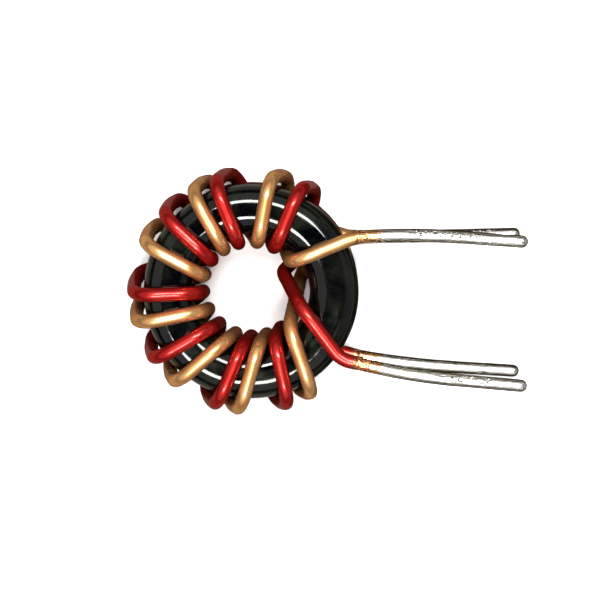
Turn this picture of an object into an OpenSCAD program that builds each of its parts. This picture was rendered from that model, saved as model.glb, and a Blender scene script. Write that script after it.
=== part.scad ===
// Toroidal inductor: two enamelled wires wound side by side through a coated ring core.
// Millimetres. Z is the core's axis, and the turns on the core's lower face touch Z = 0.

/* [Core] */
// Outer diameter of the coated ring
core_od = 27; // [22:0.5:34]
// Diameter of the hole through the coated ring
core_id = 14.7; // [12:0.1:18]
// Height of the coated ring
core_h = 11.2; // [9:0.1:16]
// Radius of the ring's rounded edges
core_edge = 2.4; // [0.5:0.1:3]

/* [Wire] */
// Diameter of each wire over its enamel
wire_d = 1.8; // [1:0.05:2.2]
// Thickness of the enamel, which the tinned ends lack
enamel_t = 0.08; // [0.03:0.01:0.1]
// Least gap between a wire and its neighbours
wire_gap = 0.08; // [0.05:0.01:0.2]
// Radius of a wire's bends round the ring's edges
bend_r = 2.7; // [1.5:0.1:3]
// How far the turns stand off the ring's outer wall
side_bow = 0.45; // [0:0.05:1]

/* [Winding] */
// Angle by which a wire moves on as it goes down the hole
hole_lean = 8; // [2:1:10]
// Angle by which a wire moves on as it comes up the outer wall
wall_lean = 9; // [2:1:12]

/* [Tinned ends] */
// Distance from the core's axis to the tips of the four ends
lead_reach = 34.4; // [28:0.1:50]
// Length of the straight stretch that a board hole or terminal takes
pin_l = 8; // [4:0.5:9]
// How much thicker the tin lies on the bend than on the pin
tin_step = 0.02; // [0.01:0.01:0.05]
// Distance from the ring's outer wall to where the enamel stops
bare_from = 1.3; // [1:0.1:3]
// Sideways place of the upper start lead where the enamel stops
gold_start_y = 7.2; // [6:0.1:9]
// Sideways place of the upper end lead where the enamel stops
gold_end_y = 6.3; // [5.5:0.1:8.5]
// Sideways place of the lower start lead where the enamel stops
red_start_y = -9; // [-10.5:0.1:-8]
// Sideways place of the lower end lead where the enamel stops
red_end_y = -9.4; // [-10.5:0.1:-8]

/* [Hidden] */

// Wires are drawn with this many sides, and a ring at least every ring_step or ring_turn degrees.
wire_sides = 12;
ring_step = 2;
ring_turn = 13;

wire_r = wire_d / 2;
lead_r = wire_r - enamel_t;
pin_r = lead_r - tin_step;
pin_bury = 0.5;
core_ro = core_od / 2;
core_ri = core_id / 2;
edge_r = min(core_edge, 0.45 * min(core_ro - core_ri, core_h));

// A turn's centre line runs along these radii and heights, measured from the core's middle.
hole_r = core_ri - wire_gap - wire_r;
wall_r = core_ro + wire_gap + wire_r;
face_z = core_h / 2 + wire_gap + wire_r;
rest_z = face_z + wire_r;
turn_r = min(bend_r, 0.36 * (wall_r - hole_r));
bow_r = 25;

// Least angle between two wires in the hole. They slant over the ring's edges, so they need a
// little more room than wires that lie straight side by side.
slant_room = 1.05;
pitch = 2 * asin(slant_room * (wire_d + wire_gap) / (2 * hole_r));

// Where each pass enters the hole, and where it comes over the ring's outer edge, in degrees.
// Red and gold take turns, counter-clockwise, and red is first.
hole_laid = [61.5, 81.5, 102.5, 120.5, 139, 159, 179, 200, 221, 243, 261.5, 279.5, 297.5, 319];
wall_laid = [65, 80.5, 108, 120, 138, 155, 181, 195, 215, 230.5, 253.5, 265, 289, 302];

// A thicker wire or a smaller hole leaves room for fewer turns of each wire. The ends take the
// room of end_passes more passes.
end_passes = 3.3;
passes = min(len(hole_laid), 2 * floor((360 / pitch - end_passes) / 2));
function hole_at(i) = i == 0 ? hole_laid[0] : max(hole_laid[i], hole_at(i - 1) + pitch);
function wall_at(i) = wall_laid[i] + hole_at(i) - hole_laid[i];

// Where the wires' ends pass the hole, top and bottom, in the bare quarter of the ring.
gold_start_top = min(37, hole_at(0) - pitch);
gold_start_low = min(51, hole_at(0) + hole_lean - pitch);
red_start_low = gold_start_low - 1.1 * pitch;
red_start_top = hole_at(passes - 1) - 360 + 1.3 * pitch;
gold_end_low = red_start_low - pitch;

function polar(r, angle, z) = [r * cos(angle), r * sin(angle), z];
function heading(angle) = [cos(angle), sin(angle), 0];
function unit(v) = v / norm(v);

// A tinned end: [height from the core's middle, sideways place of its root, heading at its
// root, heading at its tip]. Headings are in degrees from +X, in plan.
root_x = core_ro + bare_from;
gold_start = [face_z, gold_start_y, 3, -4];
gold_end = [-face_z, gold_end_y, 0, 1.5];
red_start = [face_z, red_start_y, -13, -5];
red_end = [-face_z, red_end_y, -9.5, -3.5];
function root(lead) = [root_x, lead[1], lead[0]];
function before_root(lead, d) = root(lead) - d * heading(lead[2]);

// A wire is a row of corners, each [place, bend radius], and it runs straight between bends.
// One turn comes up the outer wall, goes in over the top and down the hole.
function turn(i, low) = [
    [polar(wall_r, wall_at(i) - wall_lean, -face_z), turn_r],
    [polar(wall_r + side_bow, wall_at(i) - wall_lean / 2, 0), bow_r],
    [polar(wall_r, wall_at(i), face_z), turn_r],
    [polar(hole_r, hole_at(i), face_z), turn_r],
    [polar(hole_r, low, -face_z), turn_r]
];
gold_corners = [
    [root(gold_start), 0],
    [before_root(gold_start, 1.9), 8],
    [polar(hole_r, gold_start_top, face_z), turn_r],
    [polar(hole_r, gold_start_low, -face_z), turn_r],
    for (i = [1:2:passes - 3]) each turn(i, hole_at(i) + hole_lean),
    each turn(passes - 1, gold_end_low + 360),
    [polar(core_ro - 1.5, 36.5, -face_z), 2],
    [before_root(gold_end, 2.6), 4],
    [root(gold_end), 0]
];
// The red start crosses the hole inside the gold start before it lies against the lower face.
red_corners = [
    [root(red_start), 0],
    [before_root(red_start, 3.7), 3.5],
    [polar(hole_r + 0.3, red_start_top + 2, face_z), 3],
    [polar(hole_r - 1.9, red_start_low - 2, -0.5), 3],
    [polar(hole_r, red_start_low, -face_z), turn_r],
    for (i = [0:2:passes - 1]) each turn(i, hole_at(i) + hole_lean),
    [polar(core_ro - 0.8, -40, -face_z), 5],
    [before_root(red_end, 1.8), 4],
    [root(red_end), 0]
];

// Centre line through a row of corners, as [point, direction] for each ring.
function line_ring(corners) =
    let (last = len(corners) - 1)
    let (dirs = [for (i = [0:last - 1]) unit(corners[i + 1][0] - corners[i][0])])
    let (bends = [for (i = [0:last]) i == 0 || i == last ? 0 : acos(dirs[i - 1] * dirs[i])])
    let (trims = [for (i = [0:last]) corners[i][1] * tan(bends[i] / 2)])
    [for (i = [0:last - 1])
        let (from = corners[i][0] + trims[i] * dirs[i])
        let (to = corners[i + 1][0] - trims[i + 1] * dirs[i])
        let (steps = ceil(norm(to - from) / ring_step))
        each concat(
            [for (j = [(i == 0 ? 0 : 1):steps]) [from + (to - from) * j / steps, dirs[i]]],
            i == last - 1 ? [] : bend(to, dirs[i], dirs[i + 1], bends[i + 1], corners[i + 1][1]))
    ];
function bend(from, along, next, angle, r) =
    let (inward = unit(next - (along * next) * along))
    let (steps = ceil(angle / ring_turn))
    [for (j = [1:steps])
        let (a = angle * j / steps)
        [from + r * (sin(a) * along + (1 - cos(a)) * inward), cos(a) * along + sin(a) * inward]];

// A round wire with flat ends. Its rings hang from the direction round the core's axis, which
// no wire runs along for long.
function ring_round(centre, along) =
    let (about = unit([-centre[1], centre[0], 0]))
    let (u = unit(about - (about * along) * along))
    let (v = cross(along, u))
    [for (k = [0:wire_sides - 1])
        let (a = 360 * k / wire_sides)
        centre + wire_r * (cos(a) * u + sin(a) * v)];
module wire(corners) {
    line = line_ring(corners);
    last = len(line) - 1;
    n = wire_sides;
    rings = [for (ring = line) each ring_round(ring[0], ring[1])];
    walls = [for (i = [0:last - 1], k = [0:n - 1])
        let (a = i * n + k, b = i * n + (k + 1) % n)
        each [[a, a + n, b], [b, a + n, b + n]]];
    caps = [[for (k = [0:n - 1]) k], [for (k = [n - 1:-1:0]) last * n + k]];
    polyhedron(rings, concat(caps, walls));
}

module lift() {
    translate([0, 0, rest_z]) children();
}

module core() {
    w = core_ro - core_ri;
    color([0.07, 0.11, 0.09])
    lift()
    rotate_extrude($fn = 96)
    translate([core_ri, -core_h / 2]) {
        translate([edge_r, 0]) square([w - 2 * edge_r, core_h]);
        translate([0, edge_r]) square([w, core_h - 2 * edge_r]);
        for (x = [edge_r, w - edge_r], z = [edge_r, core_h - edge_r])
            translate([x, z]) circle(edge_r, $fn = 48);
    }
}

module gold_winding() {
    color([0.72, 0.45, 0.22])
    lift()
    wire(gold_corners);
}

module red_winding() {
    color([0.7, 0.12, 0.12])
    lift()
    wire(red_corners);
}

// A straight pin along +Z with a round tip, from a little below Z = 0.
module pin(r) {
    rotate_extrude($fn = 32) {
        translate([0, -pin_bury]) square([r, pin_l + pin_bury]);
        translate([0, pin_l])
        intersection() {
            circle(r, $fn = 32);
            square(r);
        }
    }
}

// A tinned end: a long slight bend, then the pin, which starts inside the end of the bend.
module tinned_end(lead) {
    from = lead[2];
    to = lead[3];
    run_x = lead_reach - pin_r - pin_l * cos(to) - root_x;
    bend = run_x / abs(sin(to) - sin(from));
    side = sign(to - from);
    centre = root(lead) + bend * side * heading(from + 90);
    pin_root = centre - bend * side * heading(to + 90);
    color([0.78, 0.77, 0.74])
    lift() {
        translate(centre)
        rotate([0, 0, min(from, to) - 90 * side])
        rotate_extrude(angle = abs(to - from), $fn = 720)
        translate([bend, 0]) circle(lead_r, $fn = 32);
        translate(pin_root)
        rotate([0, 90, to])
        pin(pin_r);
    }
}

module gold_start_lead() {
    tinned_end(gold_start);
}

module gold_end_lead() {
    tinned_end(gold_end);
}

module red_start_lead() {
    tinned_end(red_start);
}

module red_end_lead() {
    tinned_end(red_end);
}

core();
gold_winding();
red_winding();
gold_start_lead();
gold_end_lead();
red_start_lead();
red_end_lead();
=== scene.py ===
# Toroidal inductor: a coated ring core with a red and a gold enamelled wire and four tinned ends.
import math

import bmesh
import bpy
from mathutils import Matrix, Vector, noise


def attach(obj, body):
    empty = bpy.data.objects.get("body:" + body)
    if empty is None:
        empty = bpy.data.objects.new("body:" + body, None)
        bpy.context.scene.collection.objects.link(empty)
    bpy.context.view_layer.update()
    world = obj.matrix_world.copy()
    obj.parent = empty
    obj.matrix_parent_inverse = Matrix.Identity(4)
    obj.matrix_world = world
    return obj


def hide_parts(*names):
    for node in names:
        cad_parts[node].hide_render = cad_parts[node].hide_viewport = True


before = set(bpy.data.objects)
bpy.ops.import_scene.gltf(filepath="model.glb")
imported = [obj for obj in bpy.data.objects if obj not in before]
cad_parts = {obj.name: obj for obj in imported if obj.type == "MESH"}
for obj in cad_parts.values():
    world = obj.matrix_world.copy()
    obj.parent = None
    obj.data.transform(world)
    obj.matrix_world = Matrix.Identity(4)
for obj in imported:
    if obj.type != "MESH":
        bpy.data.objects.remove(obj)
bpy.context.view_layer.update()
mm = 0.001  # lengths below are in millimetres unless a note says metres
weld = 0.001  # points nearer to each other than this become one
scene = bpy.context.scene


def polar(radius, angle, height):  # degrees from +X round the core's axis
    turned = math.radians(angle)
    return Vector((radius * math.cos(turned), radius * math.sin(turned), height))


def heading(angle):
    return polar(1, angle, 0)


def ease(value):  # from 0 to 1 without a corner at either end
    value = max(0.0, min(1.0, value))
    return value * value * (3 - 2 * value)


def noiseAt(place, size, shift=0.0):  # smooth noise from -1 to 1 with lumps about size wide
    return noise.noise(Vector(place) / size + Vector((shift, 0.7 * shift, -shift)))


def link(thing):
    scene.collection.objects.link(thing)
    return thing


def finishPiece(shape, name, paint):
    mesh = bpy.data.meshes.new(name)
    shape.to_mesh(mesh)
    shape.free()
    mesh.polygons.foreach_set("use_smooth", [True] * len(mesh.polygons))
    mesh.materials.append(paint)
    return link(bpy.data.objects.new(name, mesh))


def standFor(piece, node):  # the piece shows in the CAD node's place
    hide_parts(node)
    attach(piece, "root")


def newPaint(name, **settings):
    paint = bpy.data.materials.new(name)
    paint.use_nodes = True
    shader = paint.node_tree.nodes["Principled BSDF"]
    for socket, value in settings.items():
        shader.inputs[socket.replace("_", " ")].default_value = value
    return paint, paint.node_tree, shader


def join(tree, *steps):  # each step is (from socket, to socket)
    for given, taken in steps:
        tree.links.new(given, taken)


def placeNode(tree):
    return tree.nodes.new("ShaderNodeTexCoord").outputs["Object"]


def mapNode(tree, mapName, stretch):  # along and round a wire
    source = tree.nodes.new("ShaderNodeUVMap")
    source.uv_map = mapName
    mapping = tree.nodes.new("ShaderNodeMapping")
    mapping.inputs["Scale"].default_value = stretch
    join(tree, (source.outputs["UV"], mapping.inputs["Vector"]))
    return mapping.outputs["Vector"]


def noiseNode(tree, where, scale, detail=3, rough=0.5, warp=0):  # scale is in lumps per metre
    grain = tree.nodes.new("ShaderNodeTexNoise")
    grain.inputs["Scale"].default_value = scale
    grain.inputs["Detail"].default_value = detail
    grain.inputs["Roughness"].default_value = rough
    grain.inputs["Distortion"].default_value = warp
    join(tree, (where, grain.inputs["Vector"]))
    return grain.outputs["Fac"]


def spread(tree, value, low, high, toLow=0.0, toHigh=1.0):
    step = tree.nodes.new("ShaderNodeMapRange")
    step.inputs["From Min"].default_value = low
    step.inputs["From Max"].default_value = high
    step.inputs["To Min"].default_value = toLow
    step.inputs["To Max"].default_value = toHigh
    join(tree, (value, step.inputs["Value"]))
    return step.outputs["Result"]


def patches(tree, where, grain, limits):  # noise cut at its limits
    return spread(tree, noiseNode(tree, where, **grain), *limits)


def combine(tree, kind, a, b):
    result = tree.nodes.new("ShaderNodeMath")
    result.operation = kind
    result.use_clamp = True
    for socket, value in zip(result.inputs, (a, b)):
        if isinstance(value, (int, float)):
            socket.default_value = value
        else:
            join(tree, (value, socket))
    return result.outputs["Value"]


def blendColour(tree, share, under, over):
    mix = tree.nodes.new("ShaderNodeMix")
    mix.data_type = "RGBA"
    join(tree, (share, mix.inputs["Factor"]))
    for socket, colour in ((mix.inputs[6], under), (mix.inputs[7], over)):  # its colours A and B
        if isinstance(colour, tuple):
            socket.default_value = (*colour, 1)
        else:
            join(tree, (colour, socket))
    return mix.outputs[2]


def attributeNode(tree, name):
    read = tree.nodes.new("ShaderNodeAttribute")
    read.attribute_name = name
    return read.outputs["Fac"]


def bumpNode(tree, height, strength, depth, onto=None):  # depth is in metres
    bump = tree.nodes.new("ShaderNodeBump")
    bump.inputs["Strength"].default_value = strength
    bump.inputs["Distance"].default_value = depth
    join(tree, (height, bump.inputs["Height"]))
    if onto is not None:
        join(tree, (onto, bump.inputs["Normal"]))
    return bump.outputs["Normal"]


def patchyRoughness(tree, share, limits, marks, dulling):  # with marks that are duller
    return combine(
        tree,
        "ADD",
        spread(tree, share, 0, 1, *limits),
        combine(tree, "MULTIPLY", marks, dulling),
    )


def finishPaint(paint, tree, shader, colour, roughness, bump):
    join(
        tree,
        (colour, shader.inputs["Base Color"]),
        (roughness, shader.inputs["Roughness"]),
        (bump, shader.inputs["Normal"]),
    )
    return paint


print("studio")
cameraView = {
    "aim": (6.1, -1.33, 7.6),
    "place": (9.3, 27.5, 321.3),
    "lens": 149.2,
    "nearest": 10,
}


def addCamera(look):
    lens = bpy.data.cameras.new("topCamera")
    lens.lens = look["lens"]
    lens.clip_start = look["nearest"] * mm
    camera = link(bpy.data.objects.new("topCamera", lens))
    place = Vector(look["place"]) * mm
    back = (place - Vector(look["aim"]) * mm).normalized()
    right = Vector((0, 1, 0)).cross(back).normalized()
    turned = Matrix((right, back.cross(right), back)).transposed()
    camera.matrix_world = Matrix.Translation(place) @ turned.to_4x4()
    scene.camera = camera


roundSides = 64


def board(length, width, middle, turned=0):  # a rectangle turned about Y
    shape = bmesh.new()
    bmesh.ops.create_grid(shape, x_segments=1, y_segments=1, size=0.5)
    bmesh.ops.scale(shape, vec=(length, width, 1), verts=shape.verts)
    tilt = Matrix.Rotation(math.radians(turned), 3, "Y")
    bmesh.ops.rotate(shape, verts=shape.verts, matrix=tilt)
    bmesh.ops.translate(shape, vec=middle, verts=shape.verts)
    return shape


def disc(radius, height):
    shape = bmesh.new()
    bmesh.ops.create_circle(shape, cap_ends=True, segments=roundSides, radius=radius)
    bmesh.ops.translate(shape, vec=(0, 0, height), verts=shape.verts)
    return shape


def band(radius, height):  # stands on the floor all round
    shape = bmesh.new()
    bmesh.ops.create_circle(shape, cap_ends=False, segments=roundSides, radius=radius)
    grown = bmesh.ops.extrude_edge_only(shape, edges=shape.edges[:])
    upper = [v for v in grown["geom"] if isinstance(v, bmesh.types.BMVert)]
    bmesh.ops.translate(shape, vec=(0, 0, height), verts=upper)
    return shape


studio = {  # lengths in metres
    "sky": (0.87, 0.87, 0.88),
    "skyLight": 0.85,
    "stripDistance": 0.62,
    "strips": {  # lean in degrees, middle along X, length, width, brightness
        "stripBack": (17, 0.06, 0.34, 0.14, 38),
        "stripFront": (-18, -0.055, 0.21, 0.14, 38),
    },
    "floor": {"colour": (0.86, 0.86, 0.86), "side": 8, "height": -0.00004},
    "paper": {"roughness": 0.9, "grain": 900, "lighter": 1.02},
    # Boards that only shiny surfaces see: on the floor, under the ring, under the tinned ends,
    # round the horizon, overhead behind the strips, and facing the tinned ends' tips. Each has
    # the function that makes it, what that takes, and a colour.
    "cards": {
        "greyCard": (disc, (0.75, -0.00002), (0.17, 0.155, 0.13)),
        "ringShade": (disc, (0.0165, -0.00001), (0.05, 0.02, 0.014)),
        "endShade": (board, (0.061, 0.12, (0.0445, 0, -0.000005)), (0.018, 0.014, 0.008)),
        "darkBand": (band, (0.75, 0.31), (0.008, 0.008, 0.008)),
        "darkFlag": (board, (0.7, 0.44, (0.15, -0.015, 0.8)), (0.01, 0.01, 0.01)),
        "sideCard": (board, (1, 1, (0.5, 0, 0.32), 90), (0.17, 0.17, 0.18)),
    },
}


def paperPaint(name, colour, look):
    paint, tree, shader = newPaint(name, Roughness=look["roughness"], Specular_IOR_Level=0.0)
    grain = noiseNode(tree, placeNode(tree), look["grain"])
    lighter = tuple(min(1, look["lighter"] * c) for c in colour)
    join(tree, (blendColour(tree, grain, colour, lighter), shader.inputs["Base Color"]))
    return paint


def addStrip(name, look):
    lean, middle, length, width, bright = look["strips"][name]
    lamp = bpy.data.lights.new(name, "AREA")
    lamp.shape = "RECTANGLE"
    lamp.size, lamp.size_y = length, width
    lamp.energy = bright * math.pi * length * width
    strip = link(bpy.data.objects.new(name, lamp))
    leant = math.radians(lean)
    strip.location = Vector((0, math.sin(leant), math.cos(leant))) * look["stripDistance"]
    strip.location.x = middle
    strip.rotation_euler = (-leant, 0, 0)


def addStudio(look):
    world = bpy.data.worlds.new("paleRoom")
    world.use_nodes = True
    sky = world.node_tree.nodes["Background"]
    sky.inputs["Color"].default_value = (*look["sky"], 1)
    sky.inputs["Strength"].default_value = look["skyLight"]
    scene.world = world
    scene.view_settings.view_transform = "Standard"
    for name in look["strips"]:
        addStrip(name, look)

    ground, paper = look["floor"], look["paper"]
    sheet = board(ground["side"], ground["side"], (0, 0, 0))
    floor = finishPiece(sheet, "floor", paperPaint("paleBoard", ground["colour"], paper))
    floor.location.z = ground["height"]
    for name, (make, sizes, colour) in look["cards"].items():
        card = finishPiece(make(*sizes), name, paperPaint(name + "Paint", colour, paper))
        card.visible_camera = card.visible_diffuse = card.visible_shadow = False


addCamera(cameraView)
addStudio(studio)

print("core")
coreMiddle = 7.48  # its height above the floor
core = {
    "outer": 13.5,
    "inner": 7.35,
    "height": 11.2,
    "edge": 2.4,
    "edgeSteps": 12,
    "spinSteps": 240,
    "flatCuts": 8,
    "wallCuts": 15,
    "straight": 1,  # a longer edge of the profile is one of its four straight sides
    "level": 0.01,  # and level if its ends' heights differ by less
    "lumps": ((0.004, 2.6, 0), (0.03, 7, 3.1)),  # the coat's: height, size and shift
}
coreCoat = {
    "deep": (0.0004, 0.0005, 0.0011),
    "green": (0.0032, 0.0038, 0.0022),
    "dusty": (0.012, 0.013, 0.010),
    "gloss": {"IOR": 1.43, "Specular_Tint": (0.96, 1.0, 0.93, 1)},
    "roughness": (0.05, 0.13),
    "clouds": {"scale": 260, "detail": 4, "rough": 0.6, "warp": 0.6},
    "cloudLimits": (0.4, 0.66),
    "dust": {"scale": 5200, "detail": 2},
    "dustLimits": (0.70, 0.78),
    "dustShows": 0.5,
    "dustDulls": 0.3,
    "peel": {"scale": 620, "detail": 2, "rough": 0.45},
    "peelBump": (0.035, 0.0003),  # strength, and depth in metres
    "skin": {"scale": 1500, "detail": 3, "rough": 0.6},
    "skinBump": (0.035, 0.00008),
}


def coatPaint(look):  # glossy green-black epoxy with a little orange peel and dust
    paint, tree, shader = newPaint("darkEpoxy", **look["gloss"])
    where = placeNode(tree)
    cloud = patches(tree, where, look["clouds"], look["cloudLimits"])
    dust = patches(tree, where, look["dust"], look["dustLimits"])
    colour = blendColour(tree, cloud, look["deep"], look["green"])
    shown = combine(tree, "MULTIPLY", dust, look["dustShows"])
    colour = blendColour(tree, shown, colour, look["dusty"])
    roughness = patchyRoughness(tree, cloud, look["roughness"], dust, look["dustDulls"])
    peel = bumpNode(tree, noiseNode(tree, where, **look["peel"]), *look["peelBump"])
    skin = bumpNode(tree, noiseNode(tree, where, **look["skin"]), *look["skinBump"], peel)
    return finishPaint(paint, tree, shader, colour, roughness, skin)


def makeCore(size):
    shape = bmesh.new()  # the ring's profile first: a rectangle with rounded corners
    bmesh.ops.create_grid(shape, x_segments=1, y_segments=1, size=0.5)
    width = size["outer"] - size["inner"]
    upright = Matrix.Rotation(math.radians(90), 3, "X")
    bmesh.ops.rotate(shape, verts=shape.verts, matrix=upright)
    bmesh.ops.scale(shape, verts=shape.verts, vec=(width, 1, size["height"]))
    bmesh.ops.bevel(
        shape,
        geom=shape.verts[:],
        affect="VERTICES",
        offset=size["edge"],
        segments=size["edgeSteps"],
        profile=0.5,
        material=-1,
    )
    bmesh.ops.delete(shape, geom=shape.faces[:], context="FACES_ONLY")
    sides = [e for e in shape.edges if e.calc_length() > size["straight"]]
    flats = [e for e in sides if abs(e.verts[0].co.z - e.verts[1].co.z) < size["level"]]
    walls = [e for e in sides if e not in flats]
    bmesh.ops.subdivide_edges(shape, edges=flats, cuts=size["flatCuts"])
    bmesh.ops.subdivide_edges(shape, edges=walls, cuts=size["wallCuts"])
    middle = ((size["outer"] + size["inner"]) / 2, 0, coreMiddle)
    bmesh.ops.translate(shape, vec=middle, verts=shape.verts)
    bmesh.ops.spin(
        shape,
        geom=shape.verts[:] + shape.edges[:],
        cent=(0, 0, 0),
        axis=(0, 0, 1),
        angle=math.tau,
        steps=size["spinSteps"],
        use_merge=True,
    )
    bmesh.ops.remove_doubles(shape, verts=shape.verts, dist=weld)
    bmesh.ops.recalc_face_normals(shape, faces=shape.faces)
    shape.normal_update()
    for v in shape.verts:  # the dipped coat is a little uneven
        lump = 0.0
        for high, wide, shift in size["lumps"]:
            lump += high * (noiseAt(v.co, wide, shift) - 0.5)
        v.co += v.normal * lump
    bmesh.ops.scale(shape, verts=shape.verts, vec=(mm, mm, mm))
    standFor(finishPiece(shape, "coreCoat", coatPaint(coreCoat)), "core")


makeCore(core)

print("wires")
wire = {
    "radius": 0.9,
    "bareRadius": 0.82,
    "gap": 0.08,
    "bend": 2.7,
    "bow": 25,
    "sideBow": 0.45,
    "holeLean": 8,
    "wallLean": 9,
    "slantRoom": 1.05,  # how much more room a wire needs where it slants over an edge
    "sides": 32,
    "turnStep": 4,  # degrees
    "step": 0.4,
    "endStep": 0.12,
    "lastStep": 0.02,  # the least
    "scraped": 3.4,  # how far the scraping reaches from a wire's end
    "lump": (0.008, 1.3),  # height and size
    "sunk": 0.006,  # keeps the lumps inside the wire's own size
    "picked": (0.5, 0.45),  # how ragged the scraping is, and the size of its rags
    "pickedFrom": 0.45,
    "pickedOver": 0.3,
    "enamelLeft": 0.01,
}
ends = {
    "rootX": 14.8,
    "reach": 34.4,
    "pin": 8,
    "pinRadius": 0.8,
    "tinStep": (0.02, 0.6),  # how much thinner the pin is, and over what length
    "inWire": 1.2,  # how far the end starts inside its wire
    "bendSteps": 24,
    "tipStep": 10,  # degrees
    "sides": 40,
    "lumps": ((0.012, 1.1), (0.006, 0.35)),  # height and size
    "scraped": 2.6,
    "pitFade": 1.5,
    "pitsAnywhere": 0.12,
    "pitCrest": (0.86, 0.08),  # how near the pits keep to a line along the end
}
holeR = core["inner"] - wire["gap"] - wire["radius"]
wallR = core["outer"] + wire["gap"] + wire["radius"]
faceZ = core["height"] / 2 + wire["gap"] + wire["radius"]
pitch = 2 * math.degrees(
    math.asin(wire["slantRoom"] * (2 * wire["radius"] + wire["gap"]) / (2 * holeR))
)
# Degrees round the core at which each pass enters the hole, and comes over the outer edge.
holeAngles = [61.5, 81.5, 102.5, 120.5, 139, 159, 179, 200, 221, 243, 261.5, 279.5, 297.5, 319]
wallAngles = [65, 80.5, 108, 120, 138, 155, 181, 195, 215, 230.5, 253.5, 265, 289, 302]
passes = len(holeAngles)
goldStartTop = 37
goldStartLow = 51
redStartLow = goldStartLow - 1.1 * pitch
redStartTop = holeAngles[-1] - 360 + 1.3 * pitch
goldEndLow = redStartLow - pitch

# Each tinned end: height from the core's middle, place and heading of its root, heading at its
# tip, how far before the root its wire bends and how widely, and its row of pits: where along it
# they start and stop, and how far they are turned from the top.
tinnedEnds = {
    "goldStart": {
        "node": "gold_start_lead",
        "z": faceZ,
        "y": 7.2,
        "from": 3,
        "to": -4,
        "bend": (1.9, 8),
        "pits": (5, 16),
        "turn": 0.32,
    },
    "goldEnd": {
        "node": "gold_end_lead",
        "z": -faceZ,
        "y": 6.3,
        "from": 0,
        "to": 1.5,
        "bend": (2.6, 4),
        "pits": (14, 18),
        "turn": 0.5,
    },
    "redStart": {
        "node": "red_start_lead",
        "z": faceZ,
        "y": -9,
        "from": -13,
        "to": -5,
        "bend": (3.7, 3.5),
        "pits": (8.5, 17.5),
        "turn": 0.28,
    },
    "redEnd": {
        "node": "red_end_lead",
        "z": -faceZ,
        "y": -9.4,
        "from": -9.5,
        "to": -3.5,
        "bend": (1.8, 4),
        "pits": (15, 18),
        "turn": -0.6,
    },
}
# How far in from the ring's outer wall each wire bends under the core, at what angle, and how
# widely. Then the two bends of the red start, which crosses the hole inside the gold start.
goldUnder = (1.5, 36.5, 2)
redUnder = (0.8, -40, 5)
redCrossing = {"out": 0.3, "inward": 1.9, "aside": 2, "height": -0.5, "bend": 3}


def rootOf(end, back=0.0):  # where the enamel stops, or a little before it
    return Vector((ends["rootX"], end["y"], end["z"])) - back * heading(end["from"])


def rootCorners(end):
    back, bend = end["bend"]
    return [(rootOf(end), 0), (rootOf(end, back), bend)]


def underCorner(inward, angle, bend):
    return (polar(core["outer"] - inward, angle, -faceZ), bend)


def turn(i, low):  # corners of one turn: up the outer wall, in over the top and down the hole
    lean, bend = wire["wallLean"], wire["bend"]
    return [
        (polar(wallR, wallAngles[i] - lean, -faceZ), bend),
        (polar(wallR + wire["sideBow"], wallAngles[i] - lean / 2, 0), wire["bow"]),
        (polar(wallR, wallAngles[i], faceZ), bend),
        (polar(holeR, holeAngles[i], faceZ), bend),
        (polar(holeR, low, -faceZ), bend),
    ]


def goldCorners():  # each corner is its place and its bend's radius
    corners = rootCorners(tinnedEnds["goldStart"])
    corners += [
        (polar(holeR, goldStartTop, faceZ), wire["bend"]),
        (polar(holeR, goldStartLow, -faceZ), wire["bend"]),
    ]
    for i in range(1, passes - 1, 2):
        corners += turn(i, holeAngles[i] + wire["holeLean"])
    corners += turn(passes - 1, goldEndLow + 360)
    corners.append(underCorner(*goldUnder))
    return corners + rootCorners(tinnedEnds["goldEnd"])[::-1]


def redCorners():
    out, inward, aside = (redCrossing[name] for name in ("out", "inward", "aside"))
    corners = rootCorners(tinnedEnds["redStart"])
    corners += [
        (polar(holeR + out, redStartTop + aside, faceZ), redCrossing["bend"]),
        (polar(holeR - inward, redStartLow - aside, redCrossing["height"]), redCrossing["bend"]),
        (polar(holeR, redStartLow, -faceZ), wire["bend"]),
    ]
    for i in range(0, passes, 2):
        corners += turn(i, holeAngles[i] + wire["holeLean"])
    corners.append(underCorner(*redUnder))
    return corners + rootCorners(tinnedEnds["redEnd"])[::-1]


def throughCorners(corners):  # straight runs with a circular bend at each corner
    dirs = [(b[0] - a[0]).normalized() for a, b in zip(corners, corners[1:])]
    line = [corners[0][0]]
    for (place, radius), along, onward in zip(corners[1:-1], dirs, dirs[1:]):
        bent = along.angle(onward)
        start = place - along * radius * math.tan(bent / 2)
        inward = (onward - along * along.dot(onward)).normalized()
        steps = math.ceil(math.degrees(bent) / wire["turnStep"])
        for j in range(steps + 1):
            a = bent * j / steps
            line.append(start + radius * (math.sin(a) * along + (1 - math.cos(a)) * inward))
    line.append(corners[-1][0])
    return line


def evenly(line, step, endStep=None, endLength=0.0):  # the same line, its points evenly apart
    reached = [0.0]
    for a, b in zip(line, line[1:]):
        reached.append(reached[-1] + (b - a).length)
    total = reached[-1]
    wanted, at = [0.0], 0.0
    while at < total - wire["lastStep"]:
        near = min(at, total - at) < endLength
        at = min(total, at + (endStep if near else step))
        wanted.append(at)
    points, k = [], 0
    for w in wanted:
        while k < len(line) - 2 and reached[k + 1] < w:
            k += 1
        share = (w - reached[k]) / (reached[k + 1] - reached[k])
        points.append(line[k].lerp(line[k + 1], min(1, share)))
    return points, wanted


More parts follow.
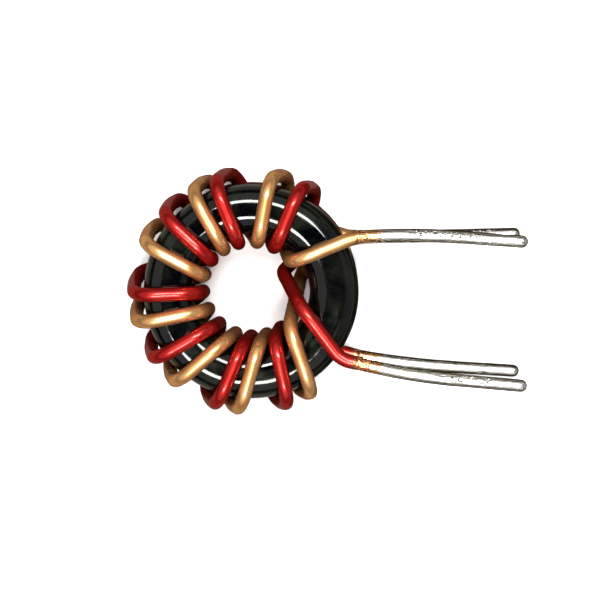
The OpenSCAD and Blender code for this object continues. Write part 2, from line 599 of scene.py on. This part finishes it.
def sweep(points, sides):  # a tube of radius 1 round the points, which knows its ring and side
    path = bpy.data.curves.new("path", "CURVE")
    path.dimensions = "3D"
    path.bevel_depth = 1
    path.bevel_resolution = (sides - 4) // 2
    run = path.splines.new("POLY")
    run.points.add(len(points) - 1)
    for spot, place in zip(run.points, points):
        spot.co = (*place, 1)
    holder = link(bpy.data.objects.new("path", path))
    tube = bpy.data.meshes.new_from_object(holder)
    shape = bmesh.new()
    shape.from_mesh(tube)
    bpy.data.objects.remove(holder)
    bpy.data.curves.remove(path)
    bpy.data.meshes.remove(tube)
    shape.loops.layers.uv.remove(shape.loops.layers.uv[0])
    ringOf = shape.verts.layers.int.new("ring")
    sideOf = shape.verts.layers.int.new("side")
    for k, v in enumerate(shape.verts):
        v[ringOf], v[sideOf] = divmod(k, sides)
    return shape, ringOf, sideOf


# Gives the swept tube its girth, its attributes and its map, and puts it in its place.
def dress(shape, ringOf, sideOf, points, reached, sides, radiusAt, marks):
    layers = {name: shape.verts.layers.float.new(name) for name in marks}
    for v in shape.verts:
        centre, at = points[v[ringOf]], reached[v[ringOf]]
        out = v.co - centre
        v.co = centre + out * radiusAt(at, v.co)
        for name, mark in marks.items():
            v[layers[name]] = mark(at, out)
    wireMap = shape.loops.layers.uv.new("wireMap")
    for face in shape.faces:
        wraps = {v[sideOf] for v in face.verts} >= {0, sides - 1}
        for loop in face.loops:
            side = loop.vert[sideOf]
            roundTo = sides if wraps and side == 0 else side
            loop[wireMap].uv = (reached[loop.vert[ringOf]], roundTo / sides)
    bmesh.ops.translate(shape, verts=shape.verts, vec=(0, 0, coreMiddle))
    bmesh.ops.scale(shape, verts=shape.verts, vec=(mm, mm, mm))
    bmesh.ops.remove_doubles(shape, verts=shape.verts, dist=weld * mm)
    bmesh.ops.holes_fill(shape, edges=[e for e in shape.edges if e.is_boundary], sides=0)
    bmesh.ops.recalc_face_normals(shape, faces=shape.faces)


redEnamel = {
    "name": "redEnamel",
    "body": (0.47, 0.022, 0.017),
    "deep": (0.34, 0.009, 0.008),
    "edge": (0.38, 0.04, 0.03, 1),
    "burnt": (0.30, 0.06, 0.025),
}
goldEnamel = {
    "name": "goldEnamel",
    "body": (0.77, 0.425, 0.17),
    "deep": (0.54, 0.25, 0.08),
    "edge": (0.42, 0.21, 0.09, 1),
    "burnt": (0.33, 0.13, 0.04),
}
bareCopper = (0.80, 0.42, 0.17)
lacquer = {  # what both enamels share
    "gloss": {"Metallic": 0.87, "Coat_Weight": 0.3, "Coat_Roughness": 0.1, "Coat_IOR": 1.45},
    "roughness": (0.25, 0.33),
    "clouds": {"scale": 330, "detail": 3, "rough": 0.55},
    "cloudLimits": (0.35, 0.65),
    "scuffs": {"scale": 2600, "detail": 4, "rough": 0.65},
    "scuffLimits": (0.62, 0.75),
    "scuffShows": 0.35,
    "scuffLighter": (1.5, 0.02),  # times the body's colour, and added to it
    "scuffDulls": 0.4,
    "ragged": {"scale": 2100, "detail": 4, "rough": 0.7},
    "raggedLimits": (0.3, 0.7, -0.25, 0.25),
    "burntLimits": (0.15, 0.55),
    # Bare flecks and dark specks: grain and its limits, how scraped the wire is there, colour.
    "marks": (
        (
            {"scale": 3300, "detail": 3, "rough": 0.6, "warp": 0.4},
            (0.5, 0.56),
            (0.25, 0.6),
            bareCopper,
        ),
        (
            {"scale": 3500, "detail": 2, "rough": 0.5, "warp": 0.3},
            (0.55, 0.59),
            (0.2, 0.5),
            (0.05, 0.02, 0.012),
        ),
    ),
    "dents": {"scale": 1100, "detail": 2, "rough": 0.5},
    "dentBump": (0.1, 0.00012),  # strength, and depth in metres
    "drawn": {"scale": 1, "detail": 3, "rough": 0.6},
    "drawnStretch": (0.35, 9, 1),
    "drawnBump": (0.1, 0.00003),
    "crumbleBump": (0.6, 0.00012),
}


def enamelPaint(look, shared):  # clear tinted lacquer over drawn copper, scraped near the ends
    paint, tree, shader = newPaint(look["name"], Specular_Tint=look["edge"], **shared["gloss"])
    where = placeNode(tree)
    scraped = attributeNode(tree, "scraped")
    cloud = patches(tree, where, shared["clouds"], shared["cloudLimits"])
    colour = blendColour(tree, cloud, look["body"], look["deep"])
    scuff = patches(tree, where, shared["scuffs"], shared["scuffLimits"])
    scuff = combine(tree, "MULTIPLY", scuff, shared["scuffShows"])
    times, plus = shared["scuffLighter"]
    lighter = tuple(min(1, times * c + plus) for c in look["body"])
    colour = blendColour(tree, scuff, colour, lighter)
    ragged = noiseNode(tree, where, **shared["ragged"])
    uneven = spread(tree, ragged, *shared["raggedLimits"])
    burnt = spread(tree, combine(tree, "ADD", scraped, uneven), *shared["burntLimits"])
    colour = blendColour(tree, burnt, colour, look["burnt"])
    for grain, limits, scrapedLimits, over in shared["marks"]:
        found = patches(tree, where, grain, limits)
        shown = combine(tree, "MULTIPLY", found, spread(tree, scraped, *scrapedLimits))
        colour = blendColour(tree, shown, colour, over)
    roughness = patchyRoughness(tree, cloud, shared["roughness"], scuff, shared["scuffDulls"])
    dents = bumpNode(tree, noiseNode(tree, where, **shared["dents"]), *shared["dentBump"])
    along = mapNode(tree, "wireMap", shared["drawnStretch"])
    drawn = noiseNode(tree, along, **shared["drawn"])
    drawMarks = bumpNode(tree, drawn, *shared["drawnBump"], dents)
    loose = combine(tree, "MULTIPLY", ragged, scraped)
    crumble = bumpNode(tree, loose, *shared["crumbleBump"], drawMarks)
    return finishPaint(paint, tree, shader, colour, roughness, crumble)


def makeWinding(name, corners, node, look, seed):
    line = throughCorners(corners)
    points, reached = evenly(line, wire["step"], wire["endStep"], wire["scraped"] + 1)
    shape, ringOf, sideOf = sweep(points, wire["sides"])
    total = reached[-1]
    high, wide = wire["lump"]
    jagged, jagSize = wire["picked"]
    enamel = wire["radius"] - wire["bareRadius"] - wire["enamelLeft"]

    def scrapedAt(at, out=None):
        return ease(1 - min(at, total - at) / wire["scraped"])

    def radiusAt(at, place):
        skin = wire["radius"] + high * noiseAt(place, wide, seed) - wire["sunk"]
        picked = scrapedAt(at) + jagged * noiseAt(place, jagSize, seed)
        return skin - enamel * ease((picked - wire["pickedFrom"]) / wire["pickedOver"])

    marks = {"scraped": scrapedAt}
    dress(shape, ringOf, sideOf, points, reached, wire["sides"], radiusAt, marks)
    standFor(finishPiece(shape, name, enamelPaint(look, lacquer)), node)


makeWinding("goldWire", goldCorners(), "gold_winding", goldEnamel, seed=1.7)
makeWinding("redWire", redCorners(), "red_winding", redEnamel, seed=4.2)

print("tinned ends")
solderTin = {
    "bright": (0.86, 0.84, 0.775),
    "dull": (0.62, 0.595, 0.52),
    "warm": (0.80, 0.66, 0.44),
    "pit": (0.05, 0.038, 0.026),
    "gloss": {"Metallic": 1.0, "Specular_Tint": (0.22, 0.17, 0.105, 1)},
    "roughness": (0.10, 0.22),
    "clouds": {"scale": 420, "detail": 4, "rough": 0.6},
    "cloudLimits": (0.42, 0.7),
    "thin": {"scale": 700, "detail": 3, "rough": 0.5, "warp": 0.5},
    "thinLimits": (0.56, 0.7),
    "thinShows": 0.6,
    "ragged": {"scale": 2700, "detail": 3, "rough": 0.6},
    "raggedLimits": (0.3, 0.7, -0.4, 0.4),
    "copperLimits": (0.35, 0.6),
    "pits": {"scale": 3100, "detail": 2, "rough": 0.55, "warp": 0.4},
    "pitLimits": (0.51, 0.56),
    "pitDulls": 0.4,
    "pitBump": (0.5, 0.00008),  # strength, and depth in metres
    "frost": {"scale": 2400, "detail": 4, "rough": 0.6},
    "frostBump": (0.28, 0.00006),
}


def tinPaint(look):  # dipped solder: bright, warm where it is thin, pitted along the top
    paint, tree, shader = newPaint("dippedTin", **look["gloss"])
    where = placeNode(tree)
    cloud = patches(tree, where, look["clouds"], look["cloudLimits"])
    colour = blendColour(tree, cloud, look["bright"], look["dull"])
    thin = patches(tree, where, look["thin"], look["thinLimits"])
    thin = combine(tree, "MULTIPLY", thin, look["thinShows"])
    colour = blendColour(tree, thin, colour, look["warm"])
    uneven = patches(tree, where, look["ragged"], look["raggedLimits"])
    copper = combine(tree, "ADD", attributeNode(tree, "scraped"), uneven)
    copper = spread(tree, copper, *look["copperLimits"])
    colour = blendColour(tree, copper, colour, bareCopper)
    pits = patches(tree, where, look["pits"], look["pitLimits"])
    pits = combine(tree, "MULTIPLY", pits, attributeNode(tree, "pitted"))
    colour = blendColour(tree, pits, colour, look["pit"])
    roughness = patchyRoughness(tree, cloud, look["roughness"], pits, look["pitDulls"])
    frost = bumpNode(tree, noiseNode(tree, where, **look["frost"]), *look["frostBump"])
    sunk = bumpNode(tree, combine(tree, "SUBTRACT", 1.0, pits), *look["pitBump"], frost)
    return finishPaint(paint, tree, shader, colour, roughness, sunk)


def endLine(end):  # a long slight bend, then the straight pin
    first, last = math.radians(end["from"]), math.radians(end["to"])
    run = ends["reach"] - ends["pinRadius"] - ends["pin"] * math.cos(last) - ends["rootX"]
    bend = run / abs(math.sin(last) - math.sin(first))
    side = math.copysign(1, end["to"] - end["from"])
    centre = rootOf(end) + bend * side * heading(end["from"] + 90)
    line = [rootOf(end, ends["inWire"])]
    for j in range(ends["bendSteps"] + 1):
        angle = end["from"] + (end["to"] - end["from"]) * j / ends["bendSteps"]
        line.append(centre - bend * side * heading(angle + 90))
    line.append(line[-1] + ends["pin"] * heading(end["to"]))
    return line


def makeTinnedEnd(name, end, paint, seed):
    line = endLine(end)
    points, reached = evenly(line, wire["endStep"])
    straight = reached[-1]
    for angle in range(ends["tipStep"], 91, ends["tipStep"]):  # the round tip
        deep = ends["pinRadius"] * math.sin(math.radians(angle))
        points.append(line[-1] + heading(end["to"]) * deep)
        reached.append(straight + deep)
    shape, ringOf, sideOf = sweep(points, ends["sides"])
    low, high = end["pits"]
    pitLine = Vector((0, end["turn"], 1)).normalized()
    crestFrom, crestOver = ends["pitCrest"]
    anywhere = ends["pitsAnywhere"]
    thinner, over = ends["tinStep"]

    def radiusAt(at, place):
        r = wire["bareRadius"] - thinner * ease((at - straight + ends["pin"]) / over)
        for tall, wide in ends["lumps"]:
            r += tall * noiseAt(place, wide, seed)
        tip = min(1, max(0, at - straight) / ends["pinRadius"])
        return r * math.sqrt(1 - tip * tip)

    def scrapedAt(at, out):
        return ease(1 - (at - ends["inWire"]) / ends["scraped"])

    def pittedAt(at, out):
        row = ease((at - low) / ends["pitFade"]) * ease((high - at) / ends["pitFade"])
        crest = ease((pitLine.dot(out) - crestFrom) / crestOver)
        return anywhere + (1 - anywhere) * row * crest

    marks = {"scraped": scrapedAt, "pitted": pittedAt}
    dress(shape, ringOf, sideOf, points, reached, ends["sides"], radiusAt, marks)
    standFor(finishPiece(shape, name + "Lead", paint), end["node"])


tin = tinPaint(solderTin)
for number, (name, end) in enumerate(tinnedEnds.items()):
    makeTinnedEnd(name, end, tin, seed=2.3 + number)

print("done")
